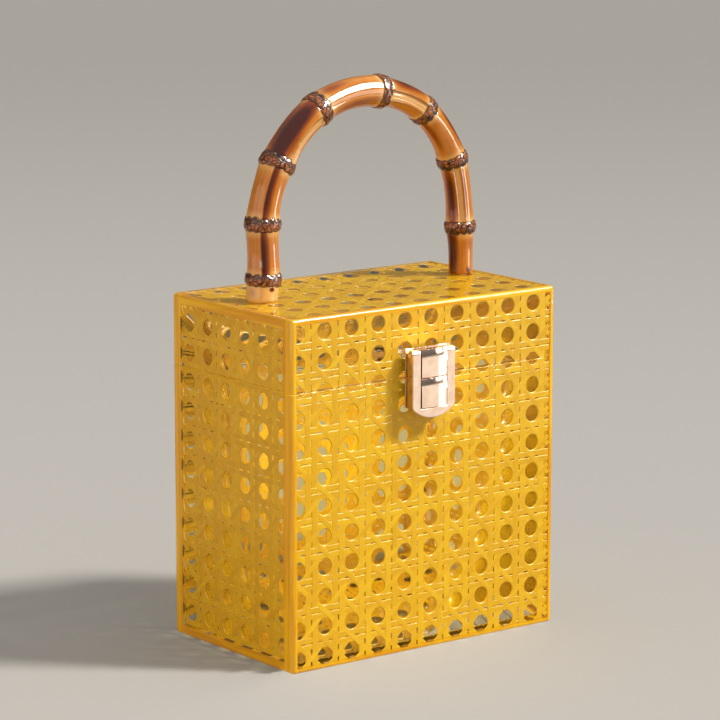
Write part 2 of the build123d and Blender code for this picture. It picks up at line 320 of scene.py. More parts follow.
class Finish:
    """A material under construction, with its own node tree."""

    def __init__(self, name):
        self.material = bpy.data.materials.new(name)
        self.material.use_nodes = True
        self.tree = self.material.node_tree
        self.tree.nodes.clear()

    def node(self, kind, settings=None, values=None, output=0):
        return add_node(self.tree, kind, settings, values, output)

    def place(self):
        return self.node("ShaderNodeTexCoord", output="Object")

    def parts(self, vector):
        """The three numbers of a vector."""
        split = self.node("ShaderNodeSeparateXYZ", values={"Vector": vector})
        return [Wire(self.tree, output) for output in split.socket.node.outputs]

    def spot(self, x, y, z):
        """A vector of three numbers."""
        return self.node("ShaderNodeCombineXYZ", values={"X": x, "Y": y, "Z": z})

    def attribute(self, name):
        return self.node("ShaderNodeAttribute", {"attribute_name": name}, output="Fac")

    def noise(self, vector, scale, detail=2.0, roughness=0.5):
        values = {"Vector": vector, "Scale": scale, "Detail": detail, "Roughness": roughness}
        return self.node("ShaderNodeTexNoise", values=values, output="Fac")

    def stretch(self, vector, scale):
        return self.node("ShaderNodeVectorMath", {"operation": "MULTIPLY"}, {0: vector, 1: scale})

    def mix(self, share, first, second):
        """A colour between two colours."""
        values = {0: share, 6: first, 7: second}
        return self.node("ShaderNodeMix", {"data_type": "RGBA"}, values, output=2)

    def bump(self, height, strength, distance):
        values = {"Height": height, "Strength": strength, "Distance": distance}
        return self.node("ShaderNodeBump", values=values)

    def surface(self, **sockets):
        """Principled surface with sockets named by their labels, and the material's output."""
        values = {name.replace("_", " "): value for name, value in sockets.items()}
        shader = self.node("ShaderNodeBsdfPrincipled", values=values)
        self.node("ShaderNodeOutputMaterial", values={"Surface": shader})
        return self.material


def clear_resin():
    """Clear cast resin with a faint ripple and smears; the wall edges are painted with an orange-yellow glow
    in the cane's colour and with painted bright streaks, for the light that the clear edges carry.
    """
    skin = 1.6 * mm
    edge_skin = skin * 0.6
    smear_scale, ripple_scale = 160.0, 55.0
    ripple_strength, ripple_depth = 0.2, 0.5 * mm
    polish, smear_rough, inner_rough = 0.02, 0.04, 0.05
    line_fine, line_long = 420.0, 14.0
    painted_glow_share = 0.95
    face_coat, corner_coat = 0.2, 0.8
    tint = paint(255, 246, 206)
    # Painted glow for the wall edges, in the cane's yellow, in place of the light that the clear edges carry
    # from the cane.
    deep_painted_glow, light_painted_glow = paint(218, 148, 3), paint(240, 184, 10)

    made = Finish("clear_resin")
    place = made.place()
    x, y, z = made.parts(place)
    from_side = half_width - x.size()
    from_front = back - y.size()
    from_level = z.least(box_height - z)
    on_side = from_side.within(edge_skin, skin)
    on_front = from_front.within(edge_skin, skin)
    on_level = from_level.within(edge_skin, skin)
    on_corner = (on_side + on_front + on_level - 1).between(0.0, 1.0)
    # Bands along the wall edges that take the painted glow.
    side_edge = on_side * from_front.within(wall * 1.3, wall * 1.65)
    front_edge = on_front * from_side.within(wall * 0.45, wall * 0.75)
    side_level = on_side * from_level.within(wall * 0.95, wall * 1.3)
    front_level = on_front * from_level.within(wall * 0.4, wall * 0.8)
    rim_edge = on_level * from_side.least(from_front).within(skin, wall)
    upright_edge = side_edge.most(front_edge)
    level_edge = side_level.most(front_level)
    edges = upright_edge.most(level_edge).most(rim_edge)
    inside = from_side.least(from_front).least(from_level).between(wall * 0.85, wall * 0.98)
    smears = made.noise(place, smear_scale, 3.0).between(0.45, 0.75)
    rough = smears * smear_rough + inside * inner_rough + polish
    normal = made.bump(made.noise(place, ripple_scale, 2.0), ripple_strength, ripple_depth)
    clear = made.node("ShaderNodeBsdfPrincipled", values={
        "Base Color": tint, "Roughness": rough, "Normal": normal, "Transmission Weight": 1.0, "IOR": 1.2,
    })
    # Painted bright streaks in the glow bands, in place of the highlights inside the clear edges; lines mixes
    # them.
    upright_highlight_streaks = made.noise(made.stretch(place, (line_fine, line_fine, line_long)), 1.0, 3.0)
    level_highlight_streaks = made.noise(made.stretch(place, (line_long, line_long, line_fine)), 1.0, 3.0)
    lines = upright_highlight_streaks * upright_edge + level_highlight_streaks * (1 - upright_edge)
    # The edge bands are opaque paint: a painted glow mixed over the clear resin.
    painted_glow = made.node("ShaderNodeBsdfPrincipled", values={
        "Base Color": made.mix(lines.between(0.35, 0.65), deep_painted_glow, light_painted_glow),
        "Roughness": rough, "Normal": normal, "Specular IOR Level": 0.2,
        "Coat Weight": on_corner * corner_coat + face_coat, "Coat Roughness": 0.05,
    })
    blend = made.node("ShaderNodeMixShader", values={0: edges * painted_glow_share, 1: clear, 2: painted_glow})
    made.node("ShaderNodeOutputMaterial", values={"Surface": blend})
    return made.material


def yellow_cane():
    """Split cane dyed yellow: glossy skin with fine grain along each strand and small changes of tone."""
    grain_along, grain_around, grain_shift = 60.0, 24.0, 50.0
    grain_strength, grain_depth = 0.25, 0.12 * mm
    blotch_scale = 130.0
    least_rough, grain_rough = 0.24, 0.16
    deep_yellow, light_yellow = paint(210, 160, 5), paint(225, 182, 14)

    made = Finish("yellow_cane")
    along = made.attribute("strand_along")
    around = made.attribute("strand_around")
    tone = made.attribute("strand_tone")
    spot = made.spot(along * grain_along, around * grain_around, tone * grain_shift)
    grain = made.noise(spot, 1.0, 3.0, 0.6)
    blotch = made.noise(made.place(), blotch_scale, 2.0)
    light = (grain * 0.55 + blotch * 0.25 + tone * 0.3).between(0.3, 0.85)
    return made.surface(
        Base_Color=made.mix(light, deep_yellow, light_yellow), Roughness=grain * grain_rough + least_rough,
        Normal=made.bump(grain, grain_strength, grain_depth),
        Specular_IOR_Level=0.25, Coat_Weight=0.4, Coat_Roughness=0.12,
    )


def lacquered_bamboo():
    """Flame-toned bamboo root under gloss lacquer: straw to caramel skin, scorched patches with a painted
    dark reflection, dark rings.
    """
    streak_along, streak_around = 40.0, 9.0
    cloud_scale, fleck_scale, cell_scale = 70.0, 520.0, 430.0
    least_rough, fleck_rough, ring_rough = 0.08, 0.06, 0.25
    relief_strength, relief_depth = 0.6, 0.4 * mm
    caramel, straw, cream = paint(176, 96, 24), paint(206, 136, 52), paint(236, 190, 116)
    # Scorch browns, which also paint the dark reflection.
    toast_and_reflection_brown, char_and_reflection_dark = paint(134, 58, 8), paint(64, 18, 0)
    dark_crust, light_crust, scar_brown = paint(30, 12, 6), paint(168, 92, 36), paint(22, 9, 5)

    made = Finish("lacquered_bamboo")
    ring = made.attribute("ring")
    place = made.place()
    spot = made.spot(
        made.attribute("along") * streak_along,
        made.attribute("turn_a") * streak_around,
        made.attribute("turn_b") * streak_around,
    )
    streak = made.noise(spot, 1.0, 4.0, 0.6)
    cloud = made.noise(place, cloud_scale, 3.0)
    fleck = made.noise(place, fleck_scale, 3.0, 0.65)
    to_edge = {"feature": "DISTANCE_TO_EDGE"}
    cell = made.node("ShaderNodeTexVoronoi", to_edge, {"Vector": place, "Scale": cell_scale})
    # Scorch and a painted dark reflection, broken up by the cloud and the streaks.
    burn_and_reflection = (made.attribute("scorch") + (cloud - 0.5) * 0.3 + (streak - 0.5) * 0.3).between(0.1, 1.0)
    skin = made.mix((streak * 0.6 + cloud * 0.5).between(0.3, 0.8), caramel, straw)
    skin = made.mix(made.attribute("pale") * 0.8, skin, cream)
    skin_with_scorch_and_reflection = made.mix(burn_and_reflection.between(0.0, 0.6), skin, toast_and_reflection_brown)
    skin_with_scorch_and_reflection = made.mix(burn_and_reflection.between(0.5, 1.0), skin_with_scorch_and_reflection, char_and_reflection_dark)
    facet = (cell * 5.0 + fleck * 0.5).between(0.3, 1.0)
    banded = made.mix(ring, skin_with_scorch_and_reflection, made.mix(facet, dark_crust, light_crust))
    return made.surface(
        Base_Color=made.mix(made.attribute("scar"), banded, scar_brown),
        Roughness=ring * ring_rough + fleck * fleck_rough + least_rough,
        Normal=made.bump(facet * ring + streak * 0.1, relief_strength, relief_depth),
        Specular_IOR_Level=0.1, Coat_Weight=0.65, Coat_Roughness=0.05,
    )


def polished_metal(name, shade, worn_shade, sheen_rough):
    """Plated metal, polished, with faint wiping marks."""
    mark_fine, mark_long = 900.0, 120.0
    haze_scale = 220.0
    mark_rough, haze_rough = 0.06, 0.05
    mark_strength, mark_depth = 0.08, 0.05 * mm

    made = Finish(name)
    place = made.place()
    marks = made.noise(made.stretch(place, (mark_fine, mark_fine, mark_long)), 1.0, 3.0)
    haze = made.noise(place, haze_scale, 2.0)
    return made.surface(
        Base_Color=made.mix(haze.between(0.3, 0.8), shade, worn_shade),
        Roughness=marks * mark_rough + haze * haze_rough + sheen_rough,
        Normal=made.bump(marks, mark_strength, mark_depth), Metallic=1.0,
    )


resin = clear_resin()
cane = yellow_cane()
bamboo = lacquered_bamboo()
gold = polished_metal("pale_gold", paint(242, 214, 190), paint(232, 198, 172), 0.04)
satin_gold = polished_metal("satin_gold", paint(224, 190, 150), paint(206, 168, 126), 0.28)
steel = polished_metal("steel_fixings", paint(172, 150, 112), paint(140, 120, 88), 0.34)


def new_piece(name, mesh, material, body, slot, *replaced):
    """Puts a finished mesh in the scene, on its body and in the place of its CAD nodes."""
    piece = bpy.data.objects.new(name, mesh)
    scene.collection.objects.link(piece)
    mesh.materials.clear()
    mesh.materials.append(material)
    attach(piece, body)
    if replaced:
        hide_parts(*replaced)
    return piece


def baked_mesh(work, name):
    """The evaluated mesh of a working object, which is then removed."""
    evaluated = work.evaluated_get(bpy.context.evaluated_depsgraph_get())
    mesh = bpy.data.meshes.new_from_object(evaluated)
    mesh.name = name
    bpy.data.objects.remove(work)
    return mesh


def work_object(mesh):
    """A scratch object for modifiers, outside the finished pieces."""
    work = bpy.data.objects.new("work", mesh)
    scene.collection.objects.link(work)
    return work


def mesh_of(bm, name):
    """A plain mesh from a working mesh, which is then freed."""
    mesh = bpy.data.meshes.new(name)
    bm.to_mesh(mesh)
    bm.free()
    return mesh


def keep_facts(mesh, facts):
    """Keeps a number for each point of a mesh, under each name."""
    for name, values in facts.items():
        numbers = np.asarray(values, dtype=np.float32).ravel()
        mesh.attributes.new(name, "FLOAT", "POINT").data.foreach_set("value", numbers)


def weave_tree():
    """Geometry nodes that give woven centre lines their flat cane section, and each eye its round rim."""
    widths = ("Upright Width", "Level Width", "Diagonal Width")
    tree = bpy.data.node_groups.new("cane_weave", "GeometryNodeTree")
    sides = tree.interface
    sides.new_socket("Strands", in_out="INPUT", socket_type="NodeSocketGeometry")
    for name in widths + ("Thickness", "Edge Round", "Rim Radius", "Rim Round"):
        sides.new_socket(name, in_out="INPUT", socket_type="NodeSocketFloat")
    sides.new_socket("Cane", in_out="INPUT", socket_type="NodeSocketMaterial")
    sides.new_socket("Weave", in_out="OUTPUT", socket_type="NodeSocketGeometry")
    entry = tree.nodes.new("NodeGroupInput")
    given = {output.name: Wire(tree, output) for output in entry.outputs if output.name}

    def make(kind, values, settings=None):
        return add_node(tree, kind, settings, values)

    def named(attribute):
        return make("GeometryNodeInputNamedAttribute", {"Name": attribute}, {"data_type": "FLOAT"})

    def of_kind(kind):
        values = {"A": named("kind"), "B": float(kind), "Epsilon": 0.1}
        chosen = make("FunctionNodeCompare", values, {"data_type": "FLOAT", "operation": "EQUAL"})
        values = {"Geometry": given["Strands"], "Selection": chosen}
        return make("GeometryNodeSeparateGeometry", values, {"domain": "POINT"})

    join = tree.nodes.new("GeometryNodeJoinGeometry")
    for kind, width in enumerate(widths):
        line = make("GeometryNodeMeshToCurve", {"Mesh": of_kind(kind)})
        line = make("GeometryNodeSetCurveNormal", {"Curve": line}, {"mode": "Z_UP"})
        line = make("GeometryNodeSetCurveRadius", {"Curve": line, "Radius": named("strand_swell")})
        spans = {"Width": given[width], "Height": given["Thickness"]}
        section = make("GeometryNodeCurvePrimitiveQuadrilateral", spans)
        values = {
            "Curve": section, "Count": fillet_points, "Radius": given["Edge Round"], "Limit Radius": True,
        }
        section = make("GeometryNodeFilletCurve", values, {"mode": "POLY"})
        turn = make("GeometryNodeSplineParameter", {})
        values = {"Geometry": section, "Name": "strand_around", "Value": turn}
        settings = {"data_type": "FLOAT", "domain": "POINT"}
        section = make("GeometryNodeStoreNamedAttribute", values, settings)
        values = {"Curve": line, "Profile Curve": section, "Fill Caps": True}
        swept = make("GeometryNodeCurveToMesh", values)
        flat = make("GeometryNodeSetShadeSmooth", {"Geometry": swept, "Shade Smooth": False})
        tree.links.new(flat.socket, join.inputs[0])
    circle, bead = (
        make("GeometryNodeCurvePrimitiveCircle", {"Resolution": points, "Radius": given[radius]})
        for points, radius in ((rim_points, "Rim Radius"), (bead_points, "Rim Round"))
    )
    rim = make("GeometryNodeCurveToMesh", {"Curve": circle, "Profile Curve": bead})
    rims = make("GeometryNodeInstanceOnPoints", {"Points": of_kind(eye_kind), "Instance": rim})
    tree.links.new(rims.socket, join.inputs[0])
    real = make("GeometryNodeRealizeInstances", {"Geometry": Wire(tree, join.outputs[0])})
    painted = make("GeometryNodeSetMaterial", {"Geometry": real, "Material": given["Cane"]})
    exit_node = tree.nodes.new("NodeGroupOutput")
    tree.links.new(painted.socket, exit_node.inputs[0])
    return tree


def grid_lines(low, high, first, step):
    """Counts of the evenly spaced lines that fall between two limits."""
    return range(ceil((low - first) / step), floor((high - first) / step) + 1)


def strand_width(pitch):
    """Width of each strand of a pair: two of them and the gap between them leave the eye open."""
    return (pitch - eye_width - pair_gap) / 2


def samples(start, end, step):
    """Evenly spaced values from start to end, about a step apart."""
    return np.linspace(start, end, max(1, ceil((end - start) / step - 0.001)) + 1)


def bound_borders(low, high, eye, pitch, axis):
    """Borders across an axis where the next eye leaves room for a strip: border, inward side and room."""
    borders = []
    for border, inward in ((low[axis], 1), (high[axis], -1)):
        room = inward * (eye[axis] - border) % pitch[axis] - eye_width / 2
        if least_strip <= room <= strand_width(pitch[axis]):
            borders.append((border, inward, room))
    return borders


def straight_strand(axis, place, start, end, step, share):
    """A strand without weave that runs at one place of an axis, at a share of its kind's full width."""
    travel = samples(start, end, step)
    points = np.zeros((len(travel), 3))
    points[:, axis] = place
    points[:, 1 - axis] = travel
    return points, float(axis), share


def border_strips(low, high, eye, pitch, axis):
    """Strips that bind the sheet's borders across an axis."""
    run = 1 - axis
    strips = []
    for border, inward, room in bound_borders(low, high, eye, pitch, axis):
        place = border + inward * room / 2
        share = room / strand_width(pitch[axis])
        strips.append(straight_strand(axis, place, low[run], high[run], pitch[run] / 2, share))
    return strips


def closed_ends(low, high, eye, pitch, height):
    """Fillers that close a level pair's gap between each bound border and the upright pair next to it."""
    fillers = []
    share = filler_width / strand_width(pitch[1])
    for border, inward, room in bound_borders(low, high, eye, pitch, 0):
        upright = border + inward * (room + eye_width / 2 + pitch[0] / 2)
        start, end = sorted((border, upright))
        fillers.append(straight_strand(1, height, start, end, pitch[0] / 2, share))
    return fillers


def woven_pairs(low, high, eye, pitch):
    """Upright and level pairs of strands, with the strips and fillers at the sheet's borders."""
    lines = []
    rng = np.random.default_rng(sway_seed)
    for axis in (0, 1):
        run = 1 - axis
        step = pitch[run] / (2 if axis else steps_per_pitch)
        width = strand_width(pitch[axis])
        offset = (width + pair_gap) / 2
        first = eye[axis] + pitch[axis] / 2
        for count in grid_lines(low[axis] - offset, high[axis] + offset, first, pitch[axis]):
            middle = first + pitch[axis] * count
            for side in (0, 1):
                place = middle + (2 * side - 1) * offset
                if not low[axis] + width / 2 <= place <= high[axis] - width / 2:
                    continue
                travel = samples(low[run], high[run], step)
                phase = (travel - eye[run]) / pitch[run]
                over = np.where((np.floor(phase) + count + side) % 2 < 1, 1, -1)
                lift = weave_rise * over * (1 - np.cos(2 * pi * phase)) / 2
                sway = np.sin(travel * rng.uniform(*sway_rates) + rng.uniform(*sway_starts))
                points = np.zeros((len(travel), 3))
                points[:, axis] = place + strand_sway * sway
                points[:, run] = travel
                points[:, 2] = 0 if axis else lift
                lines.append((points, float(axis), 1.0))
            if axis and low[axis] < middle < high[axis]:
                lines.extend(closed_ends(low, high, eye, pitch, middle))
        lines.extend(border_strips(low, high, eye, pitch, axis))
    return lines


def diagonals(low, high, eye, pitch):
    """The two sets of diagonal strands."""
    lines = []
    ends = [(low[0] - eye[0]) / pitch[0], (high[0] - eye[0]) / pitch[0]]
    levels = [(low[1] - eye[1]) / pitch[1], (high[1] - eye[1]) / pitch[1]]
    for lean in (1, -1):
        reach = sorted(lean * level for level in levels)
        for count in range(floor(ends[0] - reach[1]) - 1, ceil(ends[1] - reach[0]) + 2):
            # Along this diagonal, up = lean * (across - count - 0.5), counted in pitches.
            start = max(ends[0], reach[0] + count + 0.5)
            end = min(ends[1], reach[1] + count + 0.5)
            if end - start < least_diagonal:
                continue
            phase = samples(start, end, 1 / steps_per_pitch)
            points = np.zeros((len(phase), 3))
            points[:, 0] = eye[0] + pitch[0] * phase
            points[:, 1] = eye[1] + pitch[1] * lean * (phase - count - 0.5)
            points[:, 2] = -lean * weave_rise * np.cos(2 * pi * phase)
            lines.append((points, diagonal_kind, 1.0))
    return lines


def eye_middles(low, high, eye, pitch):
    """The middle of each whole eye, as a line of one point."""
    lines = []
    reach = rim_radius + rim_round
    for column in grid_lines(low[0] + reach, high[0] - reach, eye[0], pitch[0]):
        for row in grid_lines(low[1] + reach, high[1] - reach, eye[1], pitch[1]):
            middle = (eye[0] + pitch[0] * column, eye[1] + pitch[1] * row, rim_lift)
            lines.append((np.array([middle]), eye_kind, 1.0))
    return lines


def strand_lines(*sheet):
    """Centre lines of a sheet of six-way webbing, from its corners, the middle of an eye and the pitch.

    Each line is its points (across, up, lift), its kind and its share of the kind's full width. Level pairs
    run straight, upright pairs pass over and under them, and the two sets of diagonals pass over one kind of
    pair and under the other."""
    return woven_pairs(*sheet) + diagonals(*sheet) + eye_middles(*sheet)


def line_mesh(lines):
    """One mesh of loose polylines, with each strand's tone, width and length kept on its points."""
    rng = np.random.default_rng(tone_seed)
    points = []
    edges = []
    facts = {"kind": [], "strand_tone": [], "strand_swell": [], "strand_along": []}
    for line, kind, share in lines:
        start = len(points)
        points.extend(line.tolist())
        edges.extend((start + step, start + step + 1) for step in range(len(line) - 1))
        travel = np.concatenate([[0], np.cumsum(np.linalg.norm(np.diff(line, axis=0), axis=1))])
        facts["kind"].extend([kind] * len(line))
        facts["strand_tone"].extend([rng.uniform(0, 1)] * len(line))
        facts["strand_swell"].extend([share * rng.uniform(*width_spread)] * len(line))
        facts["strand_along"].extend((travel + rng.uniform(*grain_starts)).tolist())
    mesh = bpy.data.meshes.new("strands")
    mesh.from_pydata(points, edges, [])
    keep_facts(mesh, facts)
    return mesh


def woven_wall(tree, wall_name, body, axes, eye, pitch):
    """The woven cane sheet of one wall, in the place of the CAD sheet."""
    node = wall_name + "_cane"
    corners = [Vector(corner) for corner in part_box(node)]
    across, up = (Vector(axis) for axis in axes)
    outward = across.cross(up)
    low = [min(axis.dot(corner) for corner in corners) for axis in (across, up)]
    high = [max(axis.dot(corner) for corner in corners) for axis in (across, up)]
    level = sum(outward.dot(corner) for corner in corners) / 2
    work = work_object(line_mesh(strand_lines(low, high, eye, pitch)))
    modifier = work.modifiers.new("weave", "NODES")
    modifier.node_group = tree
    given = {
        "Upright Width": strand_width(pitch[0]), "Level Width": strand_width(pitch[1]),
        "Diagonal Width": diagonal_width, "Thickness": strand_thickness, "Edge Round": strand_round,
        "Rim Radius": rim_radius, "Rim Round": rim_round, "Cane": cane,
    }
    for item in tree.interface.items_tree:
        if item.in_out == "INPUT" and item.name in given:
            modifier[item.identifier] = given[item.name]
    mesh = baked_mesh(work, wall_name + "_weave")
    turn = Matrix((across, up, outward)).transposed().to_4x4()
    mesh.transform(Matrix.Translation(outward * level) @ turn)
    new_piece(wall_name + "_weave", mesh, cane, body, "yellow_cane", node)


def wall_grids():
    """Each wall's webbing: its body, the directions across and up it, the middle of an eye, and the pitch."""
    x, y, z = Vector((1, 0, 0)), Vector((0, 1, 0)), Vector((0, 0, 1))
    upright = (pitch_across, pitch_up)
    sideways = (pitch_deep, pitch_up)
    flat = (pitch_across, pitch_deep)
    back_eye = pitch_across / 2
    levels = (
        ("body", body_front_eye_up, body_side_eye_up),
        ("lid", seam + lid_front_eye_up, seam + lid_side_eye_up),
    )
    grids = {}
    for body, front_up, side_up in levels:
        grids[body + "_front"] = (body, (x, z), (front_eye_across, front_up), upright)
        grids[body + "_back"] = (body, (-x, z), (back_eye, front_up), upright)
        grids[body + "_left"] = (body, (-y, z), (-eye_deep, side_up), sideways)
        grids[body + "_right"] = (body, (y, z), (eye_deep, side_up), sideways)
    grids["body_bottom"] = ("body", (x, -y), (front_eye_across, -eye_deep), flat)
    grids["lid_top"] = ("lid", (x, y), (front_eye_across, eye_deep), flat)
    return grids


def cane_webbing():
    """Every wall's woven sheet."""
    tree = weave_tree()
    for wall_name, (body, axes, eye, pitch) in wall_grids().items():
        woven_wall(tree, wall_name, body, axes, eye, pitch)


def shaded(work, name):
    """Bakes a working object with normals that keep its flats flat and its round edges smooth."""
    for face in work.data.polygons:
        face.use_smooth = True
    work.modifiers.new("flats", "WEIGHTED_NORMAL").keep_sharp = False
    return baked_mesh(work, name)


def rounded(bm, edges, offset, segments):
    """Rounds some edges of a working mesh."""
    bmesh.ops.bevel(
        bm, geom=edges, offset=offset, offset_type="OFFSET", segments=segments, profile=0.5, affect="EDGES",
    )


def clear_shell(name, body, closed, rim, panels):
    """One half of the box as a clear hollow shell, closed at one level and open at the seam."""
    outer_round, outer_segments = 2.0 * mm, 5
    seam_round, seam_segments = 0.3 * mm, 2
    at_rim = 1e-7
    inward = wall if rim > closed else -wall
    bm = bmesh.new()
    rings = {}
    for key, half_x, half_y, base in (
        ("outer", half_width, back, closed), ("inner", half_width - wall, back - wall, closed + inward),
    ):
        corners = ((-half_x, -half_y), (half_x, -half_y), (half_x, half_y), (-half_x, half_y))
        rings[key + "_base"] = [bm.verts.new((x, y, base)) for x, y in corners]
        rings[key + "_rim"] = [bm.verts.new((x, y, rim)) for x, y in corners]

    def join(low, high):
        for start in range(4):
            end = (start + 1) % 4
            bm.faces.new((low[start], low[end], high[end], high[start]))

    for key in ("outer", "inner"):
        bm.faces.new(rings[key + "_base"])
        join(rings[key + "_base"], rings[key + "_rim"])
    join(rings["outer_rim"], rings["inner_rim"])
    bmesh.ops.recalc_face_normals(bm, faces=bm.faces)
    outer_corners = set(rings["outer_base"])
    rounded(bm, [edge for edge in bm.edges if outer_corners & set(edge.verts)], outer_round, outer_segments)
    rim_edges = [edge for edge in bm.edges if all(abs(vert.co.z - rim) < at_rim for vert in edge.verts)]
    rim_edges = [edge for edge in rim_edges if any(abs(face.normal.z) < 0.5 for face in edge.link_faces)]
    rounded(bm, rim_edges, seam_round, seam_segments)
    mesh = mesh_of(bm, name)
    piece = new_piece(name, shaded(work_object(mesh), name), resin, body, "clear_resin", *panels)
    piece.visible_shadow = False
    piece.visible_diffuse = False


def clear_walls():
    """The two clear halves of the box."""
    sides = ("front", "back", "left", "right")
    body_panels = ["body_%s_panel" % side for side in sides + ("bottom",)]
    lid_panels = ["lid_%s_panel" % side for side in sides + ("top",)]
    clear_shell("resin_body", "body", 0.0, body_top, body_panels)
    clear_shell("resin_lid", "lid", box_height, lid_bottom, lid_panels)


def smooth_path(points, start_slope, end_slope):
    """Smooth line through points, clamped to a direction at each end, as a function of the chord length."""
    points = np.array(points)
    gaps = np.linalg.norm(np.diff(points, axis=0), axis=1)
    knots = np.concatenate([[0], np.cumsum(gaps)])
    count = len(points)
    system = np.zeros((count, count))
    target = np.zeros((count, points.shape[1]))
    system[0, 0] = system[-1, -1] = 1
    target[0], target[-1] = start_slope, end_slope
    for here in range(1, count - 1):
        before, after = gaps[here - 1], gaps[here]
        system[here, here - 1:here + 2] = after, 2 * (before + after), before
        arriving = (points[here] - points[here - 1]) * after / before
        leaving = (points[here + 1] - points[here]) * before / after
        target[here] = 3 * (arriving + leaving)
    slopes = np.linalg.solve(system, target)

    def at(place):
        span = np.clip(np.searchsorted(knots, place, side="right") - 1, 0, count - 2)
        length = gaps[span][:, None]
        share = (place - knots[span])[:, None] / length
        first = (2 * share ** 3 - 3 * share ** 2 + 1) * points[span]
        first = first + (share ** 3 - 2 * share ** 2 + share) * length * slopes[span]
        last = (3 * share ** 2 - 2 * share ** 3) * points[span + 1]
        last = last + (share ** 3 - share ** 2) * length * slopes[span + 1]
        return first + last

    return at, knots


def bump_at(distance, width):
    """Smooth bump of height 1 about zero."""
    return np.exp(-(distance / width) ** 2)


def rise(value, low, high):
    """0 below low, 1 above high, and a smooth rise between them."""
    share = np.clip((value - low) / (high - low), 0, 1)
    return share * share * (3 - 2 * share)


def turn_gap(angle, other):
    """Smallest turn between two angles."""
    return np.abs((angle - other + pi) % (2 * pi) - pi)


def handle_stations(rings, end):
    """Places along the handle: close together on each ring, wider apart on the lengths between."""
    places = []
    stops = [0.0] + [edge for ring in rings for edge in (ring - ring_reach, ring + ring_reach)] + [end]
    for start, stop, is_ring in zip(stops, stops[1:], [False, True] * len(rings) + [False]):
        count = max(2, ceil((stop - start) / (ring_step if is_ring else length_step)))
        places.extend(np.linspace(start, stop, count, endpoint=False))
    return np.array(places + [end])


def scarred_rings(radius, waist, s, angle, rings):
    """The radius with raised rings on it, and masks of their collars and of their dark scars."""
    ring_mask = np.zeros_like(radius)
    scar_mask = np.zeros_like(radius)
    crests = np.array([share for _, _, share in node_shares]) * handle_radius
    rng = np.random.default_rng(ring_seed)
    for ring, crest in zip(rings, crests):
        gap = s - ring
        near = np.exp(-(np.abs(gap) / swell_reach) ** swell_power)
        radius = radius + (crest * swell_share - waist) * near
        lobes = rng.integers(*lobe_counts)
        shift = rng.uniform(0, 2 * pi, 4)
        arcs = np.abs(np.sin(lobes / 2 * angle + shift[0]))
        upper = upper_hem[0] + upper_hem[1] * arcs + upper_hem[2] * np.sin(5 * angle + shift[1])
        arcs = np.abs(np.sin((lobes + 2) / 2 * angle + shift[2]))
        lower = lower_hem[0] + lower_hem[1] * arcs + lower_hem[2] * np.sin(3 * angle + shift[3])
        edge_gap = np.where(gap > 0, gap - upper, -gap - lower)
        collar = 1 - rise(edge_gap, *collar_slope)
        groove = bump_at(edge_gap - groove_place, groove_width)
        radius = radius + collar_height * collar - groove_depth * groove
        for row, height in scar_rows:
            stagger = 0.5 if row > 0 else 0
            for count in range(lobes):
                middle = 2 * pi * (count + rng.uniform(-0.25, 0.25) + stagger) / lobes
                beside = turn_gap(angle, middle) * crest
                beyond = gap - row - rng.uniform(-0.3, 0.3) * mm
                away = np.sqrt(beside ** 2 + beyond ** 2)
                size = rng.uniform(0.85, 1.25) * mm
                radius = radius + height * bump_at(away, size) * collar
                outline = bump_at(away - size * 1.25, scar_outline) * collar * rng.uniform(0.3, 0.9)
                scar_mask = np.maximum(scar_mask, outline)
        ring_mask = np.maximum(ring_mask, collar)
        crown = bump_at(gap - upper + crown_place, crown_width) * rise(gap, 0, crown_start)
        shade = np.maximum(crown, 0.7 * rise(gap, shade_start, shade_full)) * collar
        scar_mask = np.maximum(np.maximum(scar_mask, groove), shade)
    return radius, ring_mask, scar_mask


def branch_channels(radius, scar_mask, index, share, angle):
    """The radius with its channels, the scars with the channels' edges, and a mask of the pale floors."""
    pale = np.zeros_like(radius)
    for length, middle, half_turn in channels:
        on_length = (index == length) * rise(share, 0.02, 0.12) * (1 - rise(share, 0.86, 0.99))
        offset = turn_gap(angle, radians(middle)) / radians(half_turn)
        radius = radius - channel_depth * on_length * (1 - rise(offset, 0.55, 1.0))
        radius = radius + channel_lip * on_length * bump_at(offset - 1.15, 0.2)
        pale = np.maximum(pale, 0.75 * on_length * (1 - rise(offset, 0.5, 1.0)))
        scar_mask = np.maximum(scar_mask, 0.7 * on_length * bump_at(offset - 1.0, 0.1))
    return radius, scar_mask, pale


def scorch_and_reflection_mask(index, share, angle):
    """Mask of the scorched patches, with the painted dark reflection among them."""
    scorch = np.zeros_like(share * angle)
    for length, middle, turn, reach, outer, inner, strength in scorch_and_reflection_patches:
        offset = (angle - radians(turn) + pi) % (2 * pi) - pi
        across = np.where(offset < 0, offset / radians(outer), offset / radians(inner))
        patch = bump_at(share - middle, reach) * bump_at(across, 1)
        scorch = np.maximum(scorch, strength * (index == length) * patch)
    return scorch


def tube_faces(rows):
    """Faces of a tube with rows of points around it, closed by a flat face at each end."""
    faces = []
    for row in range(rows - 1):
        here = row * around_count
        above = here + around_count
        for column in range(around_count):
            after = (column + 1) % around_count
            faces.append((here + column, here + after, above + after, above + column))
    faces.append(tuple(range(around_count)))
    faces.append(tuple(range((rows - 1) * around_count, rows * around_count)))
    return faces


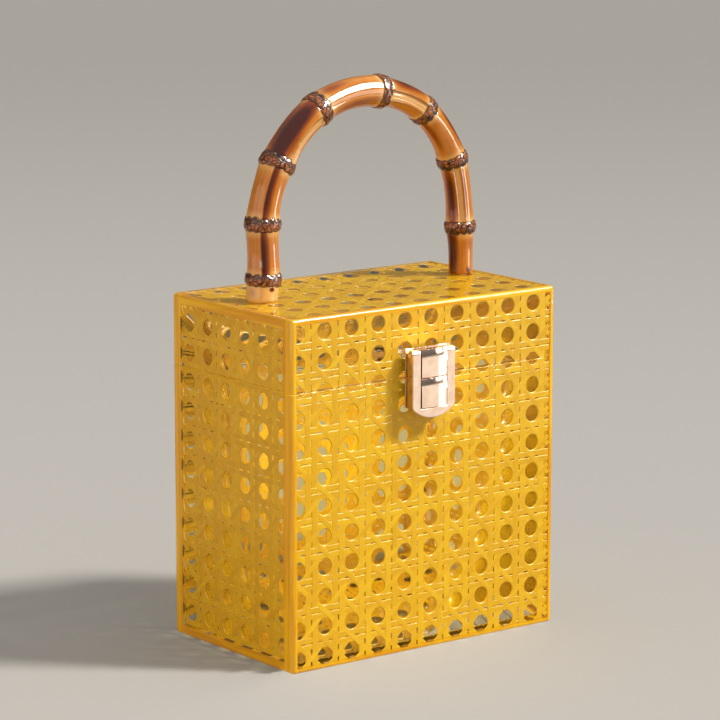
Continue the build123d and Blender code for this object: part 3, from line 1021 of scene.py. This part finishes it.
def bamboo_arch():
    """The arched root: waisted lengths, branch channels, and raised rings with rows of root scars."""
    half = handle_span / 2
    anchors = [(-half, 0.0)] + [(a * half, u * handle_rise) for a, u, _ in node_shares] + [(half, 0.0)]
    path, knots = smooth_path(anchors, (0, 1), (0, -1))
    rings, end = knots[1:-1], knots[-1]
    places = handle_stations(rings, end)
    centre = path(places)
    ahead = path(np.clip(places + slope_reach, 0, end)) - path(np.clip(places - slope_reach, 0, end))
    ahead /= np.linalg.norm(ahead, axis=1)[:, None]
    outward = np.stack([-ahead[:, 1], ahead[:, 0]], axis=1)

    s = places[:, None]
    angle = np.linspace(0, 2 * pi, around_count, endpoint=False)[None, :]
    index = np.searchsorted(rings, places, side="right")[:, None]
    ends = np.concatenate([[0], rings, [end]])
    share = (s - ends[index]) / (ends[index + 1] - ends[index])
    waist = (np.array(waist_shares) * handle_radius)[index]
    radius, ring_mask, scar_mask = scarred_rings(waist + 0 * angle, waist, s, angle, rings)
    radius, scar_mask, pale = branch_channels(radius, scar_mask, index, share, angle)
    for ring in rings:
        pale = np.maximum(pale, 0.55 * bump_at(np.abs(s - ring) - pale_place, pale_width))
    pale = np.maximum(pale, 0.8 * (index == 0))

    plane_x = centre[:, 0:1] + outward[:, 0:1] * np.cos(angle) * radius
    plane_z = centre[:, 1:2] + outward[:, 1:2] * np.cos(angle) * radius
    plane_y = -np.sin(angle) * radius
    points = np.stack([plane_x, plane_y, plane_z], axis=2).reshape(-1, 3)
    mesh = bpy.data.meshes.new("bamboo_arch")
    mesh.from_pydata(points.tolist(), [], tube_faces(len(places)))
    keep_facts(mesh, {
        "along": s + 0 * angle, "turn_a": np.cos(angle) + 0 * s, "turn_b": np.sin(angle) + 0 * s,
        "ring": ring_mask, "scar": scar_mask, "scorch": scorch_and_reflection_mask(index, share, angle), "pale": pale,
    })
    # A foot's lowest turn of points lies flat on the lid.
    place = Matrix.Translation((handle_right, handle_back, box_height))
    mesh.transform(place @ Matrix.Rotation(handle_skew, 4, "Z"))
    bm = bmesh.new()
    bm.from_mesh(mesh)
    bmesh.ops.recalc_face_normals(bm, faces=bm.faces)
    bm.to_mesh(mesh)
    bm.free()
    for face in mesh.polygons:
        face.use_smooth = len(face.vertices) == 4
    new_piece("bamboo_arch", mesh, bamboo, "lid", "bamboo", "bamboo_handle")


def pillow(bm):
    """Brings a clasp plate's block forward, crowns its face from side to side and rolls its top back."""
    face_y = min(vert.co.y for vert in bm.verts)
    block = [vert.co for vert in bm.verts if vert.co.y < face_y + face_depth]
    middle = [(min(axis) + max(axis)) / 2 for axis in zip(*block)]
    reach = [(max(axis) - min(axis)) / 2 for axis in zip(*block)]
    for axis in (0, 2):
        for cut in range(1, block_cuts):
            point = list(middle)
            point[axis] += reach[axis] * (2 * cut / block_cuts - 1)
            normal = [0, 0, 0]
            normal[axis] = 1
            parts = bm.verts[:] + bm.edges[:] + bm.faces[:]
            bmesh.ops.bisect_plane(bm, geom=parts, plane_co=point, plane_no=normal, dist=cut_gap)
    for vert in bm.verts:
        if vert.co.y < face_y + face_depth:
            across = (vert.co.x - middle[0]) / reach[0]
            up = (vert.co.z - middle[2]) / reach[2]
            over = max(0, (up - roll_start) / (1 - roll_start))
            vert.co.y -= block_proud + block_swell * (1 - across ** 2) - block_roll * over ** 2


def eased(node, body, slot, material, width, has_block=False):
    """A CAD piece with its edges eased and polished, and a clasp block's face swelled."""
    name = node + "_eased"
    bm = bmesh.new()
    bm.from_mesh(nodes[node].data)
    bmesh.ops.remove_doubles(bm, verts=bm.verts, dist=weld_gap)
    bmesh.ops.dissolve_limit(bm, angle_limit=flat_angle, verts=bm.verts, edges=bm.edges)
    if has_block:
        pillow(bm)
    work = work_object(mesh_of(bm, name))
    bevel = work.modifiers.new("ease", "BEVEL")
    bevel.width = width
    bevel.segments = 3
    bevel.limit_method = "ANGLE"
    bevel.angle_limit = sharp_angle
    new_piece(name, shaded(work, name), material, body, slot, node)


def metal_fittings():
    """Clasp, hinges and fixings, eased where they show and with their plating."""
    eased("clasp_lever", "clasp_lever", "pale_gold", gold, lever_ease)
    eased("clasp_lid_plate", "lid", "pale_gold", gold, plate_ease, True)
    eased("clasp_keeper_plate", "body", "pale_gold", gold, plate_ease, True)
    for side in ("left", "right"):
        eased("hinge_%s_lid_leaf" % side, "lid", "pale_gold", satin_gold, plate_ease)
        eased("hinge_%s_body_leaf" % side, "body", "pale_gold", satin_gold, plate_ease)
        eased("hinge_%s_pin" % side, "body", "pale_gold", satin_gold, fixing_ease)
    eased("hinge_lid_rivets", "lid", "pale_gold", satin_gold, rivet_ease)
    eased("hinge_body_rivets", "body", "pale_gold", satin_gold, rivet_ease)
    eased("clasp_pin", "lid", "pale_gold", gold, pin_ease)
    for node in ("handle_screws", "handle_washers", "clasp_lid_nuts"):
        eased(node, "lid", "steel_fixings", steel, fixing_ease)
    eased("clasp_keeper_nuts", "body", "steel_fixings", steel, fixing_ease)


def hung_lamp(name, kind, place, aim):
    """A lamp at a place, turned towards a point."""
    holder = bpy.data.objects.new(name, bpy.data.lights.new(name, kind))
    holder.location = place
    holder.rotation_euler = (Vector(aim) - Vector(place)).to_track_quat("-Z", "Y").to_euler()
    scene.collection.objects.link(holder)
    return holder


def reflector_card(name, place, aim, size, radiance):
    """A rectangular card that shows in gloss but doesn't light matt surfaces."""
    holder = hung_lamp(name, "AREA", place, aim)
    lamp = holder.data
    lamp.shape = "RECTANGLE"
    lamp.size, lamp.size_y = size
    lamp.energy = radiance * pi * size[0] * size[1]
    lamp.color = card_colour
    holder.visible_diffuse = False
    holder.visible_transmission = False
    return holder


def bounce_lamp(name, kind, place, energy, colour, size_name, size):
    """Warm light that falls on matt surfaces and doesn't show in gloss."""
    holder = hung_lamp(name, kind, place, (0, 0, place[2]))
    lamp = holder.data
    lamp.energy = energy
    lamp.color = colour
    setattr(lamp, size_name, size)
    holder.visible_camera = False
    holder.visible_glossy = False
    holder.visible_transmission = False


def studio_floor():
    """Pale matt floor with painted shade that darkens it towards the back."""
    grain_scale, grain_rough, least_rough = 300.0, 0.1, 0.75
    near_tone, painted_shade_far_tone = paint(172, 168, 162), paint(146, 142, 135)
    made = Finish("floor")
    place = made.place()
    x, y, _ = made.parts(place)
    # Painted shade: the floor darkens towards the back, as the studio light falls off.
    away = (x * floor_way[0] + y * floor_way[1]).between(floor_near, floor_far)
    grain = made.noise(place, grain_scale, 2.0)
    mesh = bpy.data.meshes.new("floor")
    corners = ((-1, -1), (1, -1), (1, 1), (-1, 1))
    points = [(across * floor_half, deep * floor_half, floor_level) for across, deep in corners]
    mesh.from_pydata(points, [], [(0, 1, 2, 3)])
    mesh.materials.append(made.surface(
        Base_Color=made.mix(away, near_tone, painted_shade_far_tone), Roughness=grain * grain_rough + least_rough,
        Specular_IOR_Level=0.0,
    ))
    piece = bpy.data.objects.new("floor", mesh)
    scene.collection.objects.link(piece)


def studio_sky():
    """Soft white light from above that leans to the front left."""
    world = bpy.data.worlds.new("studio")
    scene.world = world
    world.use_nodes = True
    sky = world.node_tree
    sky.nodes.clear()
    way = add_node(sky, "ShaderNodeTexCoord", output="Generated")

    def along(direction):
        dot = {"operation": "DOT_PRODUCT"}
        return add_node(sky, "ShaderNodeVectorMath", dot, {0: way, 1: direction}, output="Value")

    lit = (along((0.0, 0.0, 1.0)) + along(lean_way) * sky_lean).between(0.1, 0.75)
    values = {"Color": sky_colour, "Strength": lit * sky_gain + sky_low}
    ceiling = add_node(sky, "ShaderNodeBackground", values=values)
    add_node(sky, "ShaderNodeOutputWorld", values={"Surface": ceiling})


def studio():
    """Floor, sky, a sun from the right of the front, cards for the gloss and warm bounce lamps."""
    studio_floor()
    studio_sky()
    key = hung_lamp("key", "SUN", (0, 0, 0), key_way).data
    key.energy = key_energy
    key.angle = key_spread
    key.color = key_colour
    glinting = bpy.data.collections.new("glinting_pieces")
    for piece in scene.objects:
        if piece.name.endswith(glint_pieces):
            glinting.objects.link(piece)
    for name, facts in cards.items():
        card = reflector_card(name, *facts)
        if name in glint_cards:
            card.light_linking.receiver_collection = glinting
    for name, facts in bounces.items():
        bounce_lamp(name, *facts)


def photo_camera():
    """Camera at the picture's angle: a long lens, a little above, from the left of the front."""
    lens = bpy.data.cameras.new("camera")
    lens.lens = 171.72
    lens.sensor_width = 36.0
    lens.dof.use_dof = False
    holder = bpy.data.objects.new("camera", lens)
    holder.location = (-1.05913, -1.37948, 0.47721)
    yaw = 0.6534
    pitch = 0.1903
    holder.rotation_euler = (pi / 2 - pitch, 0, -yaw)
    scene.collection.objects.link(holder)
    scene.camera = holder
    scene.view_settings.view_transform = "Standard"


photo_camera()
cane_webbing()
clear_walls()
bamboo_arch()
metal_fittings()
studio()
